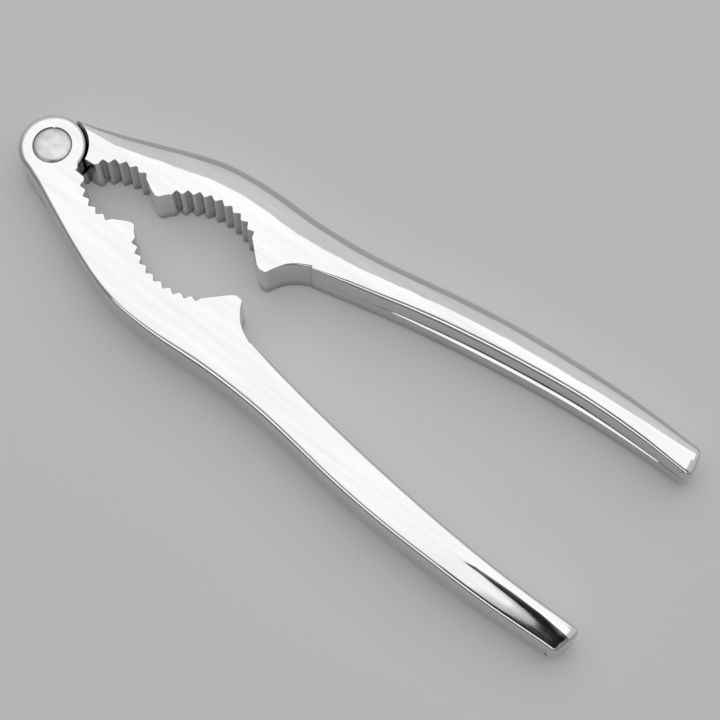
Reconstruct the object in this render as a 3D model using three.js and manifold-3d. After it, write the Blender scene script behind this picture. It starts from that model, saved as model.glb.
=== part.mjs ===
// Two-lever nutcracker: a pair of identical die-cast levers, one turned over, joined by one rivet.
// Millimetres, +Z up. The origin is on the pivot axis at the height of the surface that the
// levers lie on, and +X points between the two handles.
import * as THREE from 'three';
import { mergeVertices } from 'three/addons/utils/BufferGeometryUtils.js';
import Module from 'manifold-3d';

const wasm = await Module();
wasm.setup();

// ---- driving dimensions -------------------------------------------------------------------
// A lever is drawn with the jaws shut: x runs along the closing line from the pivot, and y
// points away from the other lever.
const THICKNESS = 12.0; // casting, over its two faces
const LEVER_END_X = 163.6; // pivot axis to the end of the handle
const REST_HALF_ANGLE = 4.0; // degrees that each lever is open at rest

const EYE_RADIUS = 8.0; // half-lapped eye
const EYE_ROUNDING = 1.3;
const EYE_ROUNDING_SHARE = 0.3; // where the eye's rounding is broken into two straight steps
const SHOULDER_RADIUS = 8.5; // seat that the other lever's eye turns in
const LAP_GAP = 0.3; // between the two eyes
const RIVET_SHANK_RADIUS = 3.0;
const RIVET_HEAD_RADIUS = 4.45;
const RIVET_HEAD_HEIGHT = 1.3;
const RIVET_DOME = 0.25; // how far the head stands above the eye
const RIVET_CLEARANCE = 0.3;
const RIVET_TAIL_CHAMFER = 0.4;
const RIVET_HEAD_EDGE = { drop: 0.3, rise: 0.1, inset: 0.5 }; // softened edge of the domed head

const LAND_Y = 1.1; // flat land between the eye and the first tooth
const LAND_END_X = 11.35;
const SMALL_ARCH = {
  x: 19.7, y: -6.1, tipRadius: 11.15, rootRadius: 12.1, first: 129.6, pitch: 13, count: 5,
};
const LARGE_ARCH = {
  x: 41.7, y: -8.8, tipRadius: 17.45, rootRadius: 18.35, first: 126.9, pitch: 8.49, count: 9,
};
const TOOTH_TIP_SHARE = 0.24; // share of a pitch that is flat tooth tip

// Height of the jaw's peaks and hollows over the closing line, between and beyond the arches.
const MIDDLE_PEAK = [[25.6, 3.0], [27.2, 2.25], [27.9, 2.3]];
const JAW_TIP = [[56.3, 0.55], [57.3, 0], [59.0, 0], [59.7, 1.4]];
const BEHIND_TIP = [[61.2, 3.3], [63.6, 5.2], [67.2, 6.7]];
const JAW_END_X = 67.2; // the handle's inner edge starts behind the jaw, and runs on beneath it
const BEHIND_JAW_X = 58;

const HANDLE_INSIDE = [
  [JAW_END_X, 6.4], [74, 7.2], [85, 8.45], [100, 9.8], [115, 10.75], [130, 11.3], [145, 11.0],
  [155, 10.3],
];
const LEVER_OUTSIDE = [
  [-14, 6.6], [-0.9, 7.95], [4, 9.45], [10, 11.6], [20, 15.1], [30, 18.2], [37, 19.5], [44, 19.8],
  [52, 19.4], [60, 18.6], [70, 18.1], [80, 18.2], [100, 19.7], [115, 20.3], [130, 20.05],
  [145, 19.1], [155, 17.9], [166, 15.9],
];
const TANGENT_POINT = LEVER_OUTSIDE[1];
const OUTER_ROUND_WIDTH = 3.6; // the outer side is rounded like the bow of a D
const OUTER_ROUND_HEIGHT = 4.2;
// The blank that the outer edge bounds is larger than the lever on its other three sides.
const BLANK = { startX: -20, endX: 180, startY: 6, endY: 12, bottomY: -20 };
const END_CORNER = { x: 161.4, y: 17.2, innerY: 9.5, outerY: 15.2, chamferX: 163, chamferY: 16.4 };
const END_CORNER_ROUND = 1; // inner corner of the handle's end

// Half height of the lever along its length: level, then thinner towards the end of the handle.
const HALF_HEIGHT = [
  [-12, THICKNESS / 2], [128, THICKNESS / 2], [144, 5.85], [155, 5.3], [161, 4.75], [166, 4.2],
];

const REACH = 40; // how far a cutter runs past the casting
const CLEAR_HEIGHT = 2 * THICKNESS; // a plan cutter is taller than the casting
const CURVE_STEPS = 4; // straight steps between two points of a free curve
const ROUND_STEPS = 4;
const TURN_STEPS = 48;

// ---- helpers ------------------------------------------------------------------------------
const radians = THREE.MathUtils.degToRad;

function vectors(points) {
  return points.map(([x, y]) => new THREE.Vector2(x, y));
}

function smooth(points, steps = CURVE_STEPS) {
  return new THREE.SplineCurve(vectors(points)).getPoints((points.length - 1) * steps);
}

function solid(geometry) {
  const bare = geometry.clone();
  bare.deleteAttribute('normal');
  bare.deleteAttribute('uv');
  const merged = mergeVertices(bare, 1e-4);
  return new wasm.Manifold(new wasm.Mesh({
    numProp: 3,
    vertProperties: new Float32Array(merged.attributes.position.array),
    triVerts: new Uint32Array(merged.index.array),
  }));
}

function geometryOf(manifold) {
  const mesh = manifold.getMesh();
  const geometry = new THREE.BufferGeometry();
  geometry.setAttribute('position', new THREE.BufferAttribute(new Float32Array(mesh.vertProperties), 3));
  geometry.setIndex(new THREE.BufferAttribute(new Uint32Array(mesh.triVerts), 1));
  geometry.computeVertexNormals();
  return geometry;
}

// A plan outline made into a plate centred on the middle plane, with rounded rims.
function plate(outline, height, roundWidth = 0, roundHeight = 0) {
  const rounded = roundWidth > 0;
  const geometry = new THREE.ExtrudeGeometry(new THREE.Shape(outline), {
    depth: height - 2 * roundHeight,
    bevelEnabled: rounded,
    bevelThickness: roundHeight,
    bevelSize: roundWidth,
    bevelOffset: -roundWidth,
    bevelSegments: ROUND_STEPS,
    curveSegments: 1,
  });
  geometry.translate(0, 0, roundHeight - height / 2);
  return solid(geometry);
}

function turned(profile) {
  const geometry = new THREE.LatheGeometry(vectors(profile), TURN_STEPS);
  geometry.rotateX(Math.PI / 2);
  return solid(geometry);
}

// ---- outline of the toothed jaws ------------------------------------------------------------
function archTeeth(arch) {
  const at = (degrees, radius) => new THREE.Vector2(
    arch.x + radius * Math.cos(radians(degrees)),
    arch.y + radius * Math.sin(radians(degrees)),
  );
  const halfGap = (arch.pitch * (1 - TOOTH_TIP_SHARE)) / 2;
  const points = [];
  for (let tooth = 0; tooth < arch.count; tooth += 1) {
    const root = arch.first - tooth * arch.pitch;
    points.push(at(root + halfGap, arch.tipRadius));
    points.push(at(root, arch.rootRadius));
    points.push(at(root - halfGap, arch.tipRadius));
  }
  return points;
}

function jawCutter() {
  const edge = [
    ...vectors([[-REACH, -REACH], [-REACH, LAND_Y], [LAND_END_X, LAND_Y]]),
    ...archTeeth(SMALL_ARCH),
    ...vectors(MIDDLE_PEAK),
    ...archTeeth(LARGE_ARCH),
    ...vectors(JAW_TIP),
    ...smooth(BEHIND_TIP),
    ...vectors([[JAW_END_X, -REACH]]),
  ];
  return plate(edge, CLEAR_HEIGHT);
}

// ---- the casting ----------------------------------------------------------------------------
function outerForm() {
  const outline = [
    ...smooth(LEVER_OUTSIDE),
    ...vectors([
      [BLANK.endX, BLANK.endY], [BLANK.endX, BLANK.bottomY],
      [BLANK.startX, BLANK.bottomY], [BLANK.startX, BLANK.startY],
    ]),
  ];
  return plate(outline, THICKNESS, OUTER_ROUND_WIDTH, OUTER_ROUND_HEIGHT);
}

function innerForm() {
  const end = END_CORNER;
  const outline = [
    ...vectors([[-REACH, REACH], [-REACH, -REACH / 4], [BEHIND_JAW_X, -REACH / 4]]),
    ...smooth([...HANDLE_INSIDE, [LEVER_END_X - END_CORNER_ROUND, end.innerY]]),
    ...vectors([
      [LEVER_END_X, end.innerY + END_CORNER_ROUND], [LEVER_END_X, end.outerY],
      [end.chamferX, end.chamferY], [end.x, end.y], [end.x, REACH],
    ]),
  ];
  return plate(outline, CLEAR_HEIGHT);
}

// Side view of the lever, swept across its width.
function sideForm() {
  const top = smooth(HALF_HEIGHT);
  const bottom = top.map((point) => new THREE.Vector2(point.x, -point.y)).reverse();
  const geometry = new THREE.ExtrudeGeometry(new THREE.Shape([...top, ...bottom]), {
    depth: 2 * REACH,
    bevelEnabled: false,
    curveSegments: 1,
  });
  geometry.translate(0, 0, -REACH);
  geometry.rotateX(Math.PI / 2);
  return solid(geometry);
}

// Everything behind the point where the outer edge meets the eye belongs to the eye alone.
function behindEyeCutter() {
  const [x, y] = TANGENT_POINT;
  const outline = [[0, 0], [3 * x, 3 * y], [-REACH, 3 * y], [-REACH, -REACH], [0, -REACH]];
  return plate(vectors(outline), CLEAR_HEIGHT);
}

// The lever's own eye is the lower half of the lap; the shoulder above it seats the other eye.
function eye() {
  const low = -THICKNESS / 2;
  const high = -LAP_GAP / 2;
  const step = EYE_ROUNDING_SHARE * EYE_ROUNDING;
  return turned([
    [0, low], [EYE_RADIUS - EYE_ROUNDING, low], [EYE_RADIUS - step, low + step],
    [EYE_RADIUS, low + EYE_ROUNDING], [EYE_RADIUS, high], [0, high],
  ]);
}

function shoulderCutter() {
  return turned([
    [0, -LAP_GAP / 2], [SHOULDER_RADIUS, -LAP_GAP / 2], [SHOULDER_RADIUS, THICKNESS], [0, THICKNESS],
  ]);
}

function rivetHoleCutter() {
  const bore = RIVET_SHANK_RADIUS + RIVET_CLEARANCE;
  const seat = RIVET_HEAD_RADIUS + RIVET_CLEARANCE;
  const seatTop = -THICKNESS / 2 + RIVET_HEAD_HEIGHT + RIVET_CLEARANCE;
  return turned([
    [0, -THICKNESS], [seat, -THICKNESS], [seat, seatTop], [bore, seatTop], [bore, THICKNESS],
    [0, THICKNESS],
  ]);
}

function leverSolid() {
  const casting = outerForm().intersect(innerForm()).intersect(sideForm());
  const jaws = casting.subtract(jawCutter()).subtract(behindEyeCutter()).subtract(shoulderCutter());
  return jaws.add(eye()).subtract(rivetHoleCutter());
}

function rivetSolid() {
  const top = THICKNESS / 2;
  const bottom = -THICKNESS / 2; // the peened tail is flush with the lower eye
  const head = RIVET_HEAD_RADIUS;
  const edge = RIVET_HEAD_EDGE;
  return turned([
    [0, bottom], [head - RIVET_TAIL_CHAMFER, bottom], [head, bottom + RIVET_TAIL_CHAMFER],
    [head, bottom + RIVET_HEAD_HEIGHT], [RIVET_SHANK_RADIUS, bottom + RIVET_HEAD_HEIGHT],
    [RIVET_SHANK_RADIUS, top - RIVET_HEAD_HEIGHT], [head, top - RIVET_HEAD_HEIGHT],
    [head, top - edge.drop], [head - edge.inset, top + edge.rise], [0, top + RIVET_DOME],
  ]);
}

// ---- assembly ---------------------------------------------------------------------------------
const CHROME_LOOK = { color: 0xe6e8ea, roughness: 0.08, metalness: 1 };
const RIVET_LOOK = { color: 0xc9cbcd, roughness: 0.3, metalness: 1 };
const chrome = new THREE.MeshStandardMaterial(CHROME_LOOK);

const leverGeometry = geometryOf(leverSolid());

const levelLever = new THREE.Mesh(leverGeometry, chrome);
levelLever.name = 'lever_lower_eye';
const leftHand = new THREE.Group();
leftHand.rotation.z = radians(REST_HALF_ANGLE);
leftHand.add(levelLever);

const turnedLever = new THREE.Mesh(leverGeometry, chrome.clone());
turnedLever.name = 'lever_upper_eye';
turnedLever.rotation.x = Math.PI;
const rightHand = new THREE.Group();
rightHand.rotation.z = -radians(REST_HALF_ANGLE);
rightHand.add(turnedLever);

const rivet = new THREE.Mesh(geometryOf(rivetSolid()), new THREE.MeshStandardMaterial(RIVET_LOOK));
rivet.name = 'pivot_rivet';

const group = new THREE.Group();
group.position.z = THICKNESS / 2;
group.add(leftHand, rightHand, rivet);
group.updateMatrixWorld(true);

export default group;
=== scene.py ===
import math

import bmesh
import bpy
import numpy as np
from mathutils import Matrix, Vector


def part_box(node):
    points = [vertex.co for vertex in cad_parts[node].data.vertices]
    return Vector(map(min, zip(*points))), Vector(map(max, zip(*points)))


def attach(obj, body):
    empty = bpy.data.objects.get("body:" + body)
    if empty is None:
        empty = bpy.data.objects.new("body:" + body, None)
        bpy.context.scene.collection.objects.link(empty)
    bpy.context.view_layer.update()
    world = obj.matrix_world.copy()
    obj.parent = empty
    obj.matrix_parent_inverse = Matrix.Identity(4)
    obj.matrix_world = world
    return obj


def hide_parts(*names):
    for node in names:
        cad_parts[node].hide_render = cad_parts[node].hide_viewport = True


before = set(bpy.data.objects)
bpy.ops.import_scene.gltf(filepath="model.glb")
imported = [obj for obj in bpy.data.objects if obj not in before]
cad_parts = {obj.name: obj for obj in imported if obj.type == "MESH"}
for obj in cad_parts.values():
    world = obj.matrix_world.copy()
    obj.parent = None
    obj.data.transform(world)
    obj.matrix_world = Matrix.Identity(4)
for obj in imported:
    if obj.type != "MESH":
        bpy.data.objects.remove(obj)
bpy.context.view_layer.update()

MM = 0.001

# ---- dimensions of one lever, in millimetres --------------------------------------------------
# x runs along the line where the jaws meet, from the pivot; y points away from the other lever;
# z is 0 at the middle plane. The lever's own eye is its lower half, so the flat face of that eye
# is called the near face, and the domed face over it the far face.
HALF_THICKNESS = 6.0
REST_HALF_ANGLE = 4.0

EYE_RADIUS = 8.0
EYE_ROUNDING = 1.3
SHOULDER_RADIUS = 8.5
LAP_Z = -0.15
SEAT_RADIUS = 4.48
SEAT_DEPTH = 1.6
SEAT_EDGE = 0.15
BORE_RADIUS = 3.3
# The outer edge leaves the eye's circle at the tangent, and the land meets it in a fillet.
TANGENT_DEGREES = 96.5
LAND_FILLET_DEGREES = 16.0

# The inner edge: a land by the eye, a small toothed arch, a peak, a large toothed arch, the jaw
# tip, the hollow behind it, and the handle. The tip's last corner turns towards the hollow.
LAND_Y = 1.1
LAND = [(11.15, LAND_Y)]
LAND_CORNER = 0.3
SMALL_ARCH = {"x": 19.7, "y": -6.1, "radius": 11.15, "first": 129.6, "pitch": 13.0, "count": 5}
MIDDLE_PEAK = [(25.6, 3.0), (27.1, 2.25), (27.9, 2.35)]
PEAK_ARC = {"radius": 17.6, "from": 140.0, "to": 132.5, "points": 7}
PEAK_CORNER = 0.5
LARGE_ARCH = {"x": 41.7, "y": -8.8, "radius": 17.45, "first": 126.9, "pitch": 8.49, "count": 9}
JAW_TIP = [(56.35, 0.5), (57.3, 0.0), (59.0, 0.0), (59.7, 1.4)]
TOWARDS_HOLLOW = (60.4, 2.4)
TIP_CORNER = 0.45
HOLLOW_START_X = 60.0
BEHIND_TIP = [(59.7, 1.4), (61.2, 3.3), (63.6, 5.2), (67.15, 6.75)]
HANDLE_INSIDE = [(67.2, 6.4), (74, 7.2), (85, 8.45), (100, 9.8), (115, 10.75), (130, 11.3), (145, 11.0),
                 (155, 10.3), (162.6, 9.55)]
HANDLE_START_X = HANDLE_INSIDE[0][0]
HANDLE_END_X = HANDLE_INSIDE[-1][0]
LEVER_OUTSIDE = [(-0.9, 7.95), (4, 9.45), (10, 11.6), (20, 15.1), (30, 18.2), (37, 19.5), (44, 19.8),
                 (52, 19.4), (60, 18.6), (70, 18.1), (80, 18.2), (100, 19.7), (115, 20.3), (130, 20.05),
                 (145, 19.1), (155, 17.9), (161.6, 17.0)]

TOOTH_DEPTH = 0.97
TOOTH_ROOT_ROUNDING = 0.12
TOOTH_TIP_ROUNDING = 0.14

# Where the section that starts at an inner x reaches the outer edge. The sections fan out round
# the pivot near the eye, and are straight from POLAR_END_X on.
ACROSS_FROM = [8.43, 12, 16, 22, 27, 31, 41.7, 50.7, 56.5, 58, 59.5, 63.6, 68, 75, 158, 162.6]
ACROSS_TO = [0.8, 6.5, 13, 20.5, 26.5, 31, 42, 53.5, 59, 60.5, 62, 65.5, 68.8, 75, 158, 161.4]
POLAR_END_X = 19.0

# The near face is flat with a rounded outer edge, and the far face is a broad dome. Each row says
# how wide and how high that rounding is: (x, width, height).
NEAR_DOME = [(0.8, 1.3, 1.3), (6, 1.2, 1.3), (20, 0.9, 1.2), (40, 1.1, 1.6), (60, 1.8, 2.2), (100, 1.5, 2.2),
             (135, 1.4, 2.2), (150, 1.3, 2.2), (163, 1.2, 1.8)]
FAR_DOME = [(0.8, 1.3, 1.3), (5, 2.6, 3.0), (12, 5.5, 5.2), (20, 7.2, 6.2), (30, 9.2, 6.6),
            (50, 9.2, 6.8), (60, 9.0, 6.8), (70, 7.9, 6.8), (85, 6.8, 6.8), (100, 6.6, 6.8),
            (130, 6.0, 6.2), (145, 5.0, 5.2), (155, 3.6, 4.0), (163, 2.2, 2.8)]
FAR_DOME_END = 0.93
DOME_POWER = 2.0

# A cove along the outer side of the near face, at the end of the handle. It starts at a sharp
# crease: (x, y of the crease, y of its far side, depth).
COVE = [(132, 14.9, 15.1, 0.0), (138, 14.0, 15.2, 0.27), (147, 13.1, 15.9, 0.58), (155, 12.6, 16.0, 0.66),
        (160, 12.6, 15.6, 0.58), (163, 13.0, 15.4, 0.4)]
COVE_POWER = 2.8
CREASE_START_X = 122.0

# Rounding of the inner edge, as (x, radius). The jaw's edges are nearly sharp. The far face's
# edge is rounded from the hollow behind the tip on, and both are rounded along the handle.
JAW_EDGE_ROUNDING = 0.14
FAR_TIP_ROUNDING = [(60, JAW_EDGE_ROUNDING), (62, 0.5), (67, 0.6)]
NEAR_EDGE_ROUNDING = [(67.2, 0.3), (76, 0.8), (150, 0.9), (163, 0.7)]
FAR_EDGE_ROUNDING = [(67.2, 0.3), (76, 1.1), (85, 1.2), (100, 1.6), (130, 1.5), (150, 1.2), (163, 0.8)]

# The handle's inner wall steps back at half height: (x, width of the ledge). The ledge is a
# slope that rises by LEDGE_RISE times its width, from LEDGE_FOOT over the lap plane.
LEDGE = [(67.2, 0.0), (84, 0.08), (98, 0.42), (108, 0.55), (134, 0.55), (158, 0.12), (163, 0.04)]
LEDGE_RISE = 0.73
LEDGE_FOOT = 0.02

# How far the near face's edges lie below its middle: (x, drop).
CROWN = [(60, 0.0), (72, 0.08), (130, 0.1), (150, 0.35), (163, 0.4)]

# How far each lever's handle stands out of the common shape: (x, distance).
HANDLE_SPLAY = {"lever_lower_eye": [(60, 0), (74, 0.35), (90, 0.9), (115, 1.1), (164, 1.1)],
                "lever_upper_eye": [(60, 0), (80, -0.3), (100, -0.5), (130, -0.9), (164, -0.9)]}
NO_SPLAY = [(0, 0), (1, 0)]

# The handle gets thinner towards its end, which is square in plan with rounded corners.
TAPER_START_X = 128.0
TAPER_DROP = 2.5
TAPER_LENGTH = 38.0
TAPER_POWER = 2.75
END_BULGE = 1.75
END_BULGE_START_X = 157.0
END_BULGE_POWER = 3.5
END_ROUNDING = 0.9

# ---- the rivet, in millimetres ------------------------------------------------------------------
# Half of its profile over the middle plane, from the crown of the head to the shank: (radius, z).
# The lower half is the same, cut off level with the lever's face and RIVET_FOOT_GAP over the floor.
RIVET_PROFILE = [(0, 6.24), (1.5, 6.22), (2.8, 6.17), (3.6, 6.1), (4.05, 6.0), (4.32, 5.82),
                 (4.44, 5.55), (4.45, 4.7), (3.0, 4.7)]
RIVET_FOOT_GAP = 0.02

# ---- steps of the surfaces ----------------------------------------------------------------------
EDGE_STEP = 0.35
HANDLE_STEP = 0.9
HOLLOW_POINTS = 26
TOOTH_STEPS = 14
CORNER_STEPS = 4
LARGEST_CORNER_SHARE = 0.45
ROUND_ROWS = 7
FACE_ROWS = 25
RIM_COLUMNS = 110
SEAT_ROWS = 6
END_ROWS = 5
RIVET_SIDES = 96
LINE_SAMPLES = 160
SHARP_DEGREES = 25
QUARTER_TURN = np.linspace(0, math.pi / 2, ROUND_ROWS)

# ---- chrome -------------------------------------------------------------------------------------
# The streaks' pattern is drawn out along x, and a little along z.
STREAK_STRETCH = (0.07, 1.0, 0.5)

# ---- studio, in metres --------------------------------------------------------------------------
FLOOR_SIZE = 6
FLOOR_Z = -0.0001
FLOOR_GREYS = [(0.0, 0.60), (1.0, 0.63)]
FLOOR_GLOW = 0.25

# Each light shows either in reflections (on_gloss) or on matt surfaces.
SOFTBOXES = [
    {"name": "overhead", "place": (-0.02, 0.24, 0.75), "aim": (-0.02, 0.24, 0.0),
     "size": (0.90, 0.76), "radiance": 0.66, "on_gloss": True},
    {"name": "front", "place": (0.0, -1.1, 0.86), "aim": (0.08, 0.0, 0.0),
     "size": (1.4, 0.45), "radiance": 1.5, "on_gloss": True},
    {"name": "sky", "place": (0.0, 0.4, 1.5), "aim": (0.08, 0.0, 0.0),
     "size": (3.2, 3.2), "radiance": 0.92, "on_gloss": False},
]

# The room is brighter towards one side, and has one dark patch in it. The room's greys run from
# the opposite side (0) to the bright side (1), and the patch's by the cosine of the angle to it.
BRIGHT_SIDE = (-0.2, 0.75, 0.63)
ROOM_GREYS = [(0.0, 0.24), (0.42, 0.27), (0.62, 0.42), (0.8, 0.72), (1.0, 0.88)]
DARK_PATCH = (0.208, -0.278, 0.938)
PATCH_GREYS = [(0.945, 1.0), (0.968, 0.3), (0.985, 0.03)]

CAMERA_AZIMUTH = 36.84
CAMERA_ELEVATION = 69.7
CAMERA_DISTANCE = 0.4542
CAMERA_LENS = 102.5
CAMERA_SENSOR = 36.0
CAMERA_NEAREST = 0.01
CAMERA_TARGET = (0.0885, 0.0002, 0.012)


# ---- plan curves --------------------------------------------------------------------------------
def natural_spline(knots):
    """A function of x that gives the height and the slope of the smoothest curve through the knots."""
    x, y = np.array(knots, float).T
    step, rise = np.diff(x), np.diff(y)
    system, right = np.eye(len(x)), np.zeros(len(x))
    for i in range(1, len(x) - 1):
        system[i, i - 1:i + 2] = step[i - 1], 2 * (step[i - 1] + step[i]), step[i]
        right[i] = 6 * (rise[i] / step[i] - rise[i - 1] / step[i - 1])
    bend = np.linalg.solve(system, right)

    def curve(at):
        at = np.asarray(at, float)
        i = np.clip(np.searchsorted(x, at, side="right") - 1, 0, len(step) - 1)
        t = (at - x[i]) / step[i]
        s = 1 - t
        lift = ((s**3 - s) * bend[i] + (t**3 - t) * bend[i + 1]) * step[i]**2 / 6
        tilt = ((1 - 3 * s**2) * bend[i] + (3 * t**2 - 1) * bend[i + 1]) * step[i] / 6
        return s * y[i] + t * y[i + 1] + lift, rise[i] / step[i] + tilt

    return curve


outer_edge = natural_spline(LEVER_OUTSIDE)
handle_inside = natural_spline(HANDLE_INSIDE)
behind_tip = natural_spline(BEHIND_TIP)


def along(knots, x):
    """The values of a list of (x, value, ...) rows at one x."""
    columns = np.array(knots).T
    values = [np.interp(x, columns[0], column) for column in columns[1:]]
    return values[0] if len(values) == 1 else values


def smoothstep(value):
    t = np.clip(value, 0, 1)
    return t * t * (3 - 2 * t)


def on_circle(centre_x, centre_y, radius, degrees):
    turn = np.radians(degrees)
    return np.stack([centre_x + radius * np.cos(turn), centre_y + radius * np.sin(turn)], -1)


def filleted(points, cut):
    """A line of points with each corner rounded by a short curve that starts `cut` before it."""
    points = [np.array(p, float) for p in points]
    line = [points[0]]
    for before, corner, after in zip(points, points[1:], points[2:]):
        a = corner + (before - corner) * min(LARGEST_CORNER_SHARE, cut / np.linalg.norm(before - corner))
        b = corner + (after - corner) * min(LARGEST_CORNER_SHARE, cut / np.linalg.norm(after - corner))
        for t in np.linspace(0, 1, CORNER_STEPS + 1):
            line.append((1 - t)**2 * a + 2 * t * (1 - t) * corner + t**2 * b)
    line.append(points[-1])
    return np.array(line)


def divided(points):
    """The same line with no gap between two points longer than EDGE_STEP."""
    line = [points[0]]
    for a, b in zip(points, points[1:]):
        count = max(1, math.ceil(np.linalg.norm(b - a) / EDGE_STEP))
        line.extend(a + (b - a) * k / count for k in range(1, count + 1))
    return np.array(line)


# ---- the inner edge -----------------------------------------------------------------------------
# Each stretch of it is three lists: points, directions into the metal, and stations. A station is
# the x at which the section over the point is taken.
def tooth_depth(across):
    """Depth of a groove at a distance from its root: a V with a narrow root and softened tips."""
    flank = TOOTH_DEPTH - (np.hypot(across, TOOTH_ROOT_ROUNDING) - TOOTH_ROOT_ROUNDING)
    return (flank + np.hypot(flank, TOOTH_TIP_ROUNDING)) / 2


def toothed_arch(arch):
    """The stretch along an arch of grooves."""
    pitches = np.linspace(-0.5, arch["count"] - 0.5, arch["count"] * TOOTH_STEPS + 1)
    degrees = arch["first"] - pitches * arch["pitch"]
    across = (pitches - np.round(pitches)) * math.radians(arch["pitch"]) * arch["radius"]
    points = on_circle(arch["x"], arch["y"], arch["radius"] + tooth_depth(across), degrees)
    stations = on_circle(arch["x"], arch["y"], arch["radius"], degrees)[:, 0]
    return points, on_circle(0, 0, 1, degrees), stations


def plain_stretch(points):
    """The stretch along a line of points without grooves."""
    heading = np.gradient(points, axis=0)
    heading /= np.linalg.norm(heading, axis=1)[:, None]
    return points, np.stack([-heading[:, 1], heading[:, 0]], -1), points[:, 0]


def without_first(stretch):
    return [column[1:] for column in stretch]


def peak_line(start, end):
    """The peak between the two arches."""
    degrees = np.linspace(PEAK_ARC["from"], PEAK_ARC["to"], PEAK_ARC["points"])
    arc = on_circle(LARGE_ARCH["x"], LARGE_ARCH["y"], PEAK_ARC["radius"], degrees)
    return divided(filleted([start, *MIDDLE_PEAK, *arc, end], PEAK_CORNER))


def tip_and_hollow(start):
    """The jaw tip and the hollow behind it."""
    tip = divided(filleted([start, *JAW_TIP, TOWARDS_HOLLOW], TIP_CORNER)[:-1])
    hollow_x = np.linspace(HOLLOW_START_X, BEHIND_TIP[-1][0], HOLLOW_POINTS)
    hollow = np.stack([hollow_x, behind_tip(hollow_x)[0]], -1)
    return np.concatenate([tip, hollow])


def inner_edge():
    """The whole inner edge, from the shoulder to the end of the handle."""
    small, large = toothed_arch(SMALL_ARCH), toothed_arch(LARGE_ARCH)
    shoulder_x = math.sqrt(SHOULDER_RADIUS**2 - LAND_Y**2)
    land = divided(filleted([(shoulder_x, LAND_Y), *LAND, small[0][0]], LAND_CORNER))
    handle_x = np.arange(HANDLE_START_X, HANDLE_END_X, HANDLE_STEP)
    stretches = [
        plain_stretch(land),
        without_first(small),
        without_first(plain_stretch(peak_line(small[0][-1], large[0][0]))),
        without_first(large),
        without_first(plain_stretch(tip_and_hollow(large[0][-1]))),
        plain_stretch(np.stack([handle_x, handle_inside(handle_x)[0]], -1)),
    ]
    points, into, stations = (np.concatenate(columns) for columns in zip(*stretches))
    return points, into, np.maximum.accumulate(stations)


# ---- the section --------------------------------------------------------------------------------
def half_height(x):
    beyond = np.clip((np.asarray(x, float) - TAPER_START_X) / TAPER_LENGTH, 0, None)
    return HALF_THICKNESS - TAPER_DROP * beyond**TAPER_POWER


def edge_rounding(station, far):
    """Radius of the inner edge's rounding."""
    if station < HANDLE_START_X:
        return along(FAR_TIP_ROUNDING, station) if far else JAW_EDGE_ROUNDING
    return along(FAR_EDGE_ROUNDING if far else NEAR_EDGE_ROUNDING, station)


def from_outer_edge(x, y):
    edge, slope = outer_edge(x)
    return (edge - y) / np.hypot(1, slope)


def cove_depth(x, y):
    """Depth of the cove at the end of the handle: steep at its crease, level at its far side."""
    crease, far_side, depth = along(COVE, x)
    left = 1 - np.clip((y - crease) / (far_side - crease), 0, 1)
    return depth * (1 - left**COVE_POWER)


def face_height(x, y, far):
    """Half height of the casting over a plan point, with the rounding of the outer side."""
    width, height = along(FAR_DOME if far else NEAR_DOME, x)
    reach = np.clip(1 - from_outer_edge(x, y) / width, 0, 1) * (FAR_DOME_END if far else 1)
    cove = 0 if far else cove_depth(x, y)
    return half_height(x) - cove - height * (1 - (1 - reach**DOME_POWER)**(1 / DOME_POWER))


def plan_line(inner, outer, polar_share, share):
    """Points from the inner to the outer edge: round the pivot near the eye, straight further on."""
    straight = inner + share[:, None] * (outer - inner)
    turn = [math.atan2(p[1], p[0]) for p in (inner, outer)]
    reach = [math.hypot(*p) for p in (inner, outer)]
    angle = turn[0] + share * (turn[1] - turn[0])
    radius = reach[0] + share * (reach[1] - reach[0])
    polar = np.stack([radius * np.cos(angle), radius * np.sin(angle)], -1)
    return polar_share * polar + (1 - polar_share) * straight


def rounded_shares(start, outer, polar_share, width):
    """Where the rows of the rounded outer side lie along a section, as shares of its length."""
    share = np.linspace(0, 1, LINE_SAMPLES)
    line = plan_line(start, outer, polar_share, share)
    depth = from_outer_edge(line[:, 0], line[:, 1])
    wanted = width * (1 - np.cos(QUARTER_TURN[::-1]))
    return np.interp(-wanted, -depth, share)


def crease_share(station, first_y, last_y):
    """Where the middle row of the near face lies: on the crease, where there is one."""
    wanted = (along(COVE, station)[0] - first_y) / (last_y - first_y)
    amount = float(smoothstep((station - CREASE_START_X) / (COVE[0][0] - CREASE_START_X)))
    return 0.5 + amount * (wanted - 0.5)


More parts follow.
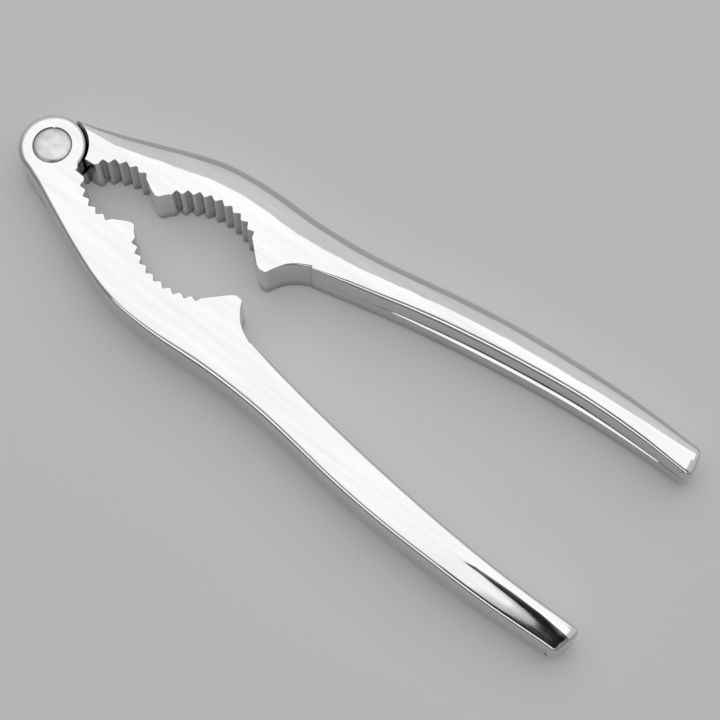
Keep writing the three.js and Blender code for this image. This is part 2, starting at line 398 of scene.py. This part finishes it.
def half_section(point, into, station, far):
    """Half a section over one edge point: x, y and half height, from the inner to the outer wall."""
    radius = edge_rounding(station, far)
    point = point + into * (along(LEDGE, station) if far else 0)
    start = point + into * radius
    outer_x = float(np.interp(station, ACROSS_FROM, ACROSS_TO))
    outer = np.array([outer_x, outer_edge(outer_x)[0]])
    polar_share = 1 - float(smoothstep((station - ACROSS_FROM[0]) / (POLAR_END_X - ACROSS_FROM[0])))

    width = along(FAR_DOME if far else NEAR_DOME, outer_x)[0]
    rounded = rounded_shares(start, outer, polar_share, width)
    flat = np.linspace(0, 1, FACE_ROWS)
    if not far:
        flat_end = plan_line(start, outer, polar_share, rounded[:1])[0]
        flat = np.interp(flat, [0, 0.5, 1], [0, crease_share(station, start[1], flat_end[1]), 1])
    shares = np.concatenate([flat[1:-1] * rounded[0], rounded])

    edge_drop = 0 if far else along(CROWN, station)
    rows = []
    for t in QUARTER_TURN:
        x, y = point + into * radius * (1 - math.cos(t))
        rows.append([x, y, half_height(x) - edge_drop - radius * (1 - math.sin(t))])
    for (x, y), share in zip(plan_line(start, outer, polar_share, shares), shares):
        rise = math.sin(math.pi * min(1, share / rounded[0]))
        rows.append([x, y, float(face_height(x, y, far)) - edge_drop * (1 - rise)])
    return np.array(rows)


def bulged(section, station):
    """Moves the middle of a section towards the end of the handle, which makes its square end."""
    progress = (station - END_BULGE_START_X) / (HANDLE_END_X - END_BULGE_START_X)
    amount = END_BULGE * float(smoothstep(progress))
    run = np.linalg.norm(np.diff(section[:, :2], axis=0), axis=1)
    share = np.concatenate([[0], np.cumsum(run)]) / run.sum()
    swell = 1 - np.clip(np.abs(2 * share - 1), 0, 1)**END_BULGE_POWER
    moved = section.copy()
    moved[:, 0] += amount * swell**(1 / END_BULGE_POWER)
    return moved


def end_sections(section):
    """The last half sections of the handle, which turn down over its rounded end."""
    sections = []
    for t in np.linspace(math.pi / 2, 0, END_ROWS):
        moved = section.copy()
        moved[:, 0] -= END_ROUNDING * (1 - math.cos(t))
        moved[:, 2] -= END_ROUNDING * (1 - math.sin(t))
        sections.append(moved)
    return sections


def lever_sections():
    """All sections from the eye to the end of the handle, each a far and a near half."""
    sections = []
    for point, into, station in zip(*inner_edge()):
        halves = [half_section(point, into, station, far) for far in (True, False)]
        sections.append([bulged(half, station) for half in halves])
    far_half, near_half = sections.pop()
    sections += zip(end_sections(far_half), end_sections(near_half))
    return sections


# ---- the lever's surface ------------------------------------------------------------------------
class Skin:
    """The vertices and faces of one closed surface, in millimetres."""

    def __init__(self):
        self.points, self.faces = [], []

    def add(self, x, y, z):
        self.points.append((float(x), float(y), float(z)))
        return len(self.points) - 1

    def bridge(self, first, second, closed=False):
        """Quads between two rows of as many vertices."""
        count = len(first)
        for i in range(count if closed else count - 1):
            j = (i + 1) % count
            self.faces.append([first[i], first[j], second[j], second[i]])

    def degrees_of(self, vertex):
        """The vertex's direction from the pivot."""
        x, y, _ = self.points[vertex]
        return math.degrees(math.atan2(y, x))

    def mesh(self, name, place, splay):
        """A Blender mesh in metres, moved to its place, with its faces pointing out."""
        data = bpy.data.meshes.new(name)
        points = [Vector((x, y + along(splay, x), z)) * MM for x, y, z in self.points]
        data.from_pydata([place @ point for point in points], [], self.faces)
        shape = bmesh.new()
        shape.from_mesh(data)
        bmesh.ops.recalc_face_normals(shape, faces=shape.faces)
        shape.to_mesh(data)
        shape.free()
        data.shade_smooth()
        data.set_sharp_from_angle(angle=math.radians(SHARP_DEGREES))
        return data


def ring(skin, far, near):
    """One closed ring of the lever: the lap row, the far half, the outer lap row, the near half."""
    ids = {"lap_in": skin.add(near[0][0], near[0][1], LAP_Z)}
    ledge_width = math.dist(far[0][:2], near[0][:2])
    ledge = skin.add(far[0][0], far[0][1], LAP_Z + LEDGE_FOOT + LEDGE_RISE * ledge_width)
    middle = [skin.add(x, y, z / 2) for x, y, z in (far[0], far[-1])]
    middle += [skin.add(x, y, -z / 2) for x, y, z in (near[0], near[-1])]
    ids["top"] = [ledge, middle[0], *(skin.add(x, y, z) for x, y, z in far), middle[1]]
    ids["lap_out"] = skin.add(far[-1][0], far[-1][1], LAP_Z)
    ids["bottom"] = [middle[2], *(skin.add(x, y, -z) for x, y, z in near), middle[3]]
    ids["loop"] = [ids["lap_in"], *ids["top"], ids["lap_out"], *reversed(ids["bottom"])]
    return ids


def shoulder_wall(skin, start):
    """The far half's upright end by the other lever's eye. Returns its feet on the lap plane."""
    chain = start["top"]
    columns = chain[2:-1]
    feet = [start["lap_in"]]
    feet += [skin.add(skin.points[i][0], skin.points[i][1], LAP_Z) for i in columns[1:-1]]
    feet.append(start["lap_out"])
    last = len(columns) - 2
    for i in range(last + 1):
        face = [feet[i], columns[i], columns[i + 1], feet[i + 1]]
        if i == 0:
            face[1:1] = chain[:2]
        if i == last:
            face.insert(-1, chain[-1])
        skin.faces.append(face)
    return feet


def rim_columns(skin, first, last):
    """The eye's rim, from the outer edge round to the land, as (face edge, middle, lap) vertices."""
    start = skin.degrees_of(first[0])
    end = skin.degrees_of(last[0]) + 360
    columns, roundings = [first], [EYE_ROUNDING]
    for degrees in np.linspace(start, end, RIM_COLUMNS)[1:-1]:
        out = float(smoothstep((TANGENT_DEGREES - degrees) / (TANGENT_DEGREES - start)))
        land = float(smoothstep((degrees - end + LAND_FILLET_DEGREES) / LAND_FILLET_DEGREES))
        radius = EYE_RADIUS + (SHOULDER_RADIUS - EYE_RADIUS) * max(out, land)
        rounding = EYE_ROUNDING + (JAW_EDGE_ROUNDING - EYE_ROUNDING) * land
        edge_z = -(HALF_THICKNESS - rounding)
        x, y = on_circle(0, 0, radius, degrees)
        columns.append([skin.add(x, y, z) for z in (edge_z, edge_z / 2, LAP_Z)])
        roundings.append(rounding)
    columns.append(last)
    roundings.append(JAW_EDGE_ROUNDING)
    return columns, roundings


def eye_face_point(x, y, rounding, lift, inset, share):
    """A point of the eye's face, moved in from the boundary: over the rounding, then to the seat."""
    turn = math.atan2(y, x)
    edge = math.hypot(x, y) - (rounding if rounding else EYE_ROUNDING) * inset
    radius = edge + share * (SEAT_RADIUS + SEAT_EDGE - edge)
    x, y = radius * math.cos(turn), radius * math.sin(turn)
    if rounding is None or 0 < turn < math.radians(TANGENT_DEGREES):
        return x, y, -float(face_height(x, y, False))
    return x, y, -(HALF_THICKNESS - rounding * (1 - lift))


def eye_face(skin, boundary, roundings):
    """The eye's flat face: rings from its boundary in to the rivet seat, rounded down at the rim."""
    shares = np.linspace(0, 1, SEAT_ROWS + 1)[1:]
    moves = [(math.sin(t), 1 - math.cos(t), 0) for t in QUARTER_TURN[1:]] + [(1, 1, s) for s in shares]
    rings = [boundary]
    for move in moves:
        row = []
        for vertex, rounding in zip(boundary, roundings):
            x, y, _ = skin.points[vertex]
            row.append(skin.add(*eye_face_point(x, y, rounding, *move)))
        rings.append(row)
    for outer, inner in zip(rings, rings[1:]):
        skin.bridge(outer, inner, closed=True)
    return rings[-1]


def seat_and_bore(skin, face_ring, lap_loop):
    """The rivet's seat and bore, and the lap plane round the bore."""
    seat_z = -HALF_THICKNESS + SEAT_DEPTH
    turns = [math.atan2(skin.points[i][1], skin.points[i][0]) for i in lap_loop]
    levels = [(SEAT_RADIUS, -HALF_THICKNESS + SEAT_EDGE), (SEAT_RADIUS, seat_z),
              (BORE_RADIUS, seat_z), (BORE_RADIUS, LAP_Z)]
    rows = [face_ring]
    for radius, z in levels:
        rows.append([skin.add(radius * math.cos(t), radius * math.sin(t), z) for t in turns])
    rows.append(lap_loop)
    for first, second in zip(rows, rows[1:]):
        skin.bridge(first, second, closed=True)


def add_eye(skin, start):
    """Closes the lever at its first section: the shoulder's wall, and the eye below the lap plane."""
    feet = shoulder_wall(skin, start)
    below = start["bottom"]
    outer_column = [below[-2], below[-1], start["lap_out"]]
    inner_column = [below[1], below[0], start["lap_in"]]
    columns, roundings = rim_columns(skin, outer_column, inner_column)
    for first, second in zip(columns, columns[1:]):
        skin.bridge(first, second)
    sector = below[2:-2]
    boundary = sector + [column[0] for column in columns]
    face_ring = eye_face(skin, boundary, [None] * len(sector) + roundings)
    seat_and_bore(skin, face_ring, feet[1:-1] + [column[2] for column in columns])


def close_handle(skin, end):
    """The upright face at the end of the handle."""
    skin.bridge(end["top"][1:], end["bottom"])
    skin.faces.append([end["lap_in"], end["top"][0], end["top"][1], end["bottom"][0]])
    skin.faces.append([end["lap_out"], end["bottom"][-1], end["top"][-1]])


def lever_skin():
    skin = Skin()
    rings = [ring(skin, far, near) for far, near in lever_sections()]
    for first, second in zip(rings, rings[1:]):
        skin.bridge(first["loop"], second["loop"], closed=True)
    close_handle(skin, rings[-1])
    add_eye(skin, rings[0])
    return skin


def rivet_skin():
    skin = Skin()
    lower = [(r, -min(z, HALF_THICKNESS) + RIVET_FOOT_GAP) for r, z in reversed(RIVET_PROFILE)]
    turns = np.linspace(0, 2 * math.pi, RIVET_SIDES, endpoint=False)
    rows = []
    for radius, z in RIVET_PROFILE[1:] + lower[:-1]:
        rows.append([skin.add(radius * math.cos(t), radius * math.sin(t), z) for t in turns])
    for first, second in zip(rows, rows[1:]):
        skin.bridge(first, second, closed=True)
    for row, (_, z) in ((rows[0], RIVET_PROFILE[0]), (rows[-1], lower[-1])):
        middle = skin.add(0, 0, z)
        skin.faces += [[row[i - 1], row[i], middle] for i in range(len(row))]
    return skin


# ---- material nodes -----------------------------------------------------------------------------
def noise_texture(tree, where, scale, detail):
    texture = tree.nodes.new("ShaderNodeTexNoise")
    texture.inputs["Scale"].default_value = scale
    texture.inputs["Detail"].default_value = detail
    tree.links.new(where, texture.inputs["Vector"])
    return texture.outputs["Fac"]


def colour_ramp(tree, value, stops):
    """A ramp through (position, colour) stops, where a single number is a grey."""
    ramp = tree.nodes.new("ShaderNodeValToRGB")
    elements = ramp.color_ramp.elements
    while len(elements) < len(stops):
        elements.new(1.0)
    for element, (position, colour) in zip(elements, stops):
        element.position = position
        element.color = (*np.broadcast_to(colour, 3), 1)
    tree.links.new(value, ramp.inputs["Fac"])
    return ramp.outputs["Color"]


def remapped(tree, value, low, high, to_low, to_high):
    node = tree.nodes.new("ShaderNodeMapRange")
    node.inputs["From Min"].default_value = low
    node.inputs["From Max"].default_value = high
    node.inputs["To Min"].default_value = to_low
    node.inputs["To Max"].default_value = to_high
    tree.links.new(value, node.inputs["Value"])
    return node.outputs["Result"]


def multiplied_added(tree, value, factor, addend):
    """value * factor + addend; the addend is a number or another node's output."""
    node = tree.nodes.new("ShaderNodeMath")
    node.operation = "MULTIPLY_ADD"
    node.inputs[1].default_value = factor
    tree.links.new(value, node.inputs[0])
    if isinstance(addend, float):
        node.inputs[2].default_value = addend
    else:
        tree.links.new(addend, node.inputs[2])
    return node.outputs["Value"]


def bumped(tree, height, strength, distance):
    bump = tree.nodes.new("ShaderNodeBump")
    bump.inputs["Strength"].default_value = strength
    bump.inputs["Distance"].default_value = distance
    tree.links.new(height, bump.inputs["Height"])
    return bump.outputs["Normal"]


# Painted shade: darkens a colour where other surfaces are near, in grooves, corners and gaps, standing in
# for the shade that falls there.
def painted_crevice_shade(tree, colour, distance, samples):
    shade = tree.nodes.new("ShaderNodeAmbientOcclusion")
    shade.samples = samples
    shade.inputs["Distance"].default_value = distance
    tree.links.new(colour, shade.inputs["Color"])
    return shade.outputs["Color"]


# ---- materials ----------------------------------------------------------------------------------
def node_material(name, metallic):
    material = bpy.data.materials.new(name)
    material.use_nodes = True
    tree = material.node_tree
    shader = tree.nodes["Principled BSDF"]
    shader.inputs["Metallic"].default_value = metallic
    where = tree.nodes.new("ShaderNodeTexCoord").outputs["Object"]
    return material, tree, shader, where


def chrome_material():
    """Chrome plating with polishing streaks along the lever, smears in its gloss, slight waves, and painted
    shade in its crevices.
    """
    material, tree, shader, where = node_material("chrome_plating", metallic=1.0)
    smears = noise_texture(tree, where, scale=90.0, detail=5.0)
    gloss = remapped(tree, smears, low=0.35, high=0.7, to_low=0.05, to_high=0.12)
    tree.links.new(gloss, shader.inputs["Roughness"])

    stretch = tree.nodes.new("ShaderNodeMapping")
    stretch.inputs["Scale"].default_value = STREAK_STRETCH
    tree.links.new(where, stretch.inputs["Vector"])
    streaks = noise_texture(tree, stretch.outputs["Vector"], scale=500.0, detail=3.0)
    tint = colour_ramp(tree, streaks, [(0.3, (0.605, 0.605, 0.61)), (0.7, 0.67)])
    # Painted shade darkens the chrome's colour in the teeth's grooves and the corners by the eye.
    tint_with_painted_shade = painted_crevice_shade(tree, tint, distance=0.004, samples=8)
    tree.links.new(tint_with_painted_shade, shader.inputs["Base Color"])

    waves = noise_texture(tree, where, scale=110.0, detail=1.5)
    relief = multiplied_added(tree, streaks, factor=0.12, addend=waves)
    tree.links.new(bumped(tree, relief, strength=0.35, distance=0.0004), shader.inputs["Normal"])
    return material


def steel_material():
    """The rivet's mottled steel."""
    material, tree, shader, where = node_material("rivet_steel", metallic=1.0)
    mottle = noise_texture(tree, where, scale=480.0, detail=6.0)
    tree.links.new(colour_ramp(tree, mottle, [(0.35, 0.47), (0.65, 0.66)]), shader.inputs["Base Color"])
    gloss = remapped(tree, mottle, low=0.0, high=1.0, to_low=0.25, to_high=0.42)
    tree.links.new(gloss, shader.inputs["Roughness"])
    tree.links.new(bumped(tree, mottle, strength=0.25, distance=0.0001), shader.inputs["Normal"])
    return material


def floor_material():
    """A matt pale floor with a slight glow, which stands for light bounced from the room."""
    material, tree, shader, where = node_material("pale_floor", metallic=0.0)
    shader.inputs["Roughness"].default_value = 0.9
    shader.inputs["Specular IOR Level"].default_value = 0.0
    shader.inputs["Emission Strength"].default_value = FLOOR_GLOW
    tone = colour_ramp(tree, noise_texture(tree, where, scale=6.0, detail=2.0), FLOOR_GREYS)
    tree.links.new(tone, shader.inputs["Base Color"])
    tree.links.new(tone, shader.inputs["Emission Color"])
    return material


# ---- pieces -------------------------------------------------------------------------------------
def linked(name, data, material):
    piece = bpy.data.objects.new(name, data)
    data.materials.append(material)
    bpy.context.scene.collection.objects.link(piece)
    return piece


def pivot_point():
    """The middle of the rivet at the castings' middle plane, in metres."""
    rivet_low, rivet_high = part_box("pivot_rivet")
    middle = (rivet_low + rivet_high) / 2
    return Vector((middle.x, middle.y, HALF_THICKNESS * MM))


def add_levers(pivot, material):
    """The same casting twice; the one whose eye is the upper one is turned over."""
    skin = lever_skin()
    turned_over = Matrix.Rotation(math.pi, 4, "X")
    angle = math.radians(REST_HALF_ANGLE)
    levers = [
        ("lever_lower_eye", "left_lever", Matrix.Rotation(angle, 4, "Z")),
        ("lever_upper_eye", "right_lever", Matrix.Rotation(-angle, 4, "Z") @ turned_over),
    ]
    for node, body, turn in levers:
        data = skin.mesh(node, Matrix.Translation(pivot) @ turn, HANDLE_SPLAY[node])
        piece = linked("chrome_" + node, data, material)
        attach(piece, body)
        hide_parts(node)


def add_rivet(pivot, material):
    data = rivet_skin().mesh("rivet", Matrix.Translation(pivot), NO_SPLAY)
    piece = linked("rivet", data, material)
    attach(piece, "right_lever")
    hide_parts("pivot_rivet")


# ---- floor, light and camera --------------------------------------------------------------------
def add_floor():
    bpy.ops.mesh.primitive_plane_add(size=FLOOR_SIZE, location=(0, 0, FLOOR_Z))
    floor = bpy.context.object
    floor.name = "floor"
    floor.data.materials.append(floor_material())


def add_softbox(name, place, aim, size, radiance, on_gloss):
    light = bpy.data.lights.new(name, "AREA")
    light.shape = "RECTANGLE"
    light.size, light.size_y = size
    light.energy = radiance * math.pi * size[0] * size[1]
    lamp = bpy.data.objects.new(name, light)
    lamp.location = place
    lamp.rotation_euler = (Vector(aim) - Vector(place)).to_track_quat("-Z", "Y").to_euler()
    lamp.visible_glossy = on_gloss
    lamp.visible_diffuse = not on_gloss
    bpy.context.scene.collection.objects.link(lamp)


def greys_towards(tree, where, direction, greys, factor, addend):
    """Greys by the cosine of the angle to a direction, times a factor and plus an addend."""
    facing = tree.nodes.new("ShaderNodeVectorMath")
    facing.operation = "DOT_PRODUCT"
    facing.inputs[1].default_value = Vector(direction).normalized()
    tree.links.new(where, facing.inputs[0])
    share = multiplied_added(tree, facing.outputs["Value"], factor, addend)
    return colour_ramp(tree, share, greys)


def add_world():
    """The room, which shows only in reflections."""
    world = bpy.data.worlds.new("studio")
    world.use_nodes = True
    tree = world.node_tree
    where = tree.nodes.new("ShaderNodeTexCoord").outputs["Generated"]
    room = greys_towards(tree, where, BRIGHT_SIDE, ROOM_GREYS, factor=0.5, addend=0.5)
    patch = greys_towards(tree, where, DARK_PATCH, PATCH_GREYS, factor=1.0, addend=0.0)
    both = tree.nodes.new("ShaderNodeVectorMath")
    both.operation = "MULTIPLY"
    tree.links.new(room, both.inputs[0])
    tree.links.new(patch, both.inputs[1])
    tree.links.new(both.outputs["Vector"], tree.nodes["Background"].inputs["Color"])
    world.cycles_visibility.diffuse = False
    bpy.context.scene.world = world


def add_camera():
    azimuth, elevation = math.radians(CAMERA_AZIMUTH), math.radians(CAMERA_ELEVATION)
    back = Vector((math.sin(azimuth) * math.cos(elevation), -math.cos(azimuth) * math.cos(elevation),
                   math.sin(elevation)))
    camera = bpy.data.objects.new("camera", bpy.data.cameras.new("camera"))
    camera.data.lens = CAMERA_LENS
    camera.data.sensor_width = CAMERA_SENSOR
    camera.data.clip_start = CAMERA_NEAREST
    camera.location = Vector(CAMERA_TARGET) + back * CAMERA_DISTANCE
    camera.rotation_euler = (-back).to_track_quat("-Z", "Y").to_euler()
    bpy.context.scene.collection.objects.link(camera)
    bpy.context.scene.camera = camera


bpy.context.scene.view_settings.view_transform = "Standard"
pivot = pivot_point()
add_levers(pivot, chrome_material())
add_rivet(pivot, steel_material())
add_floor()
add_world()
for softbox in SOFTBOXES:
    add_softbox(**softbox)
add_camera()
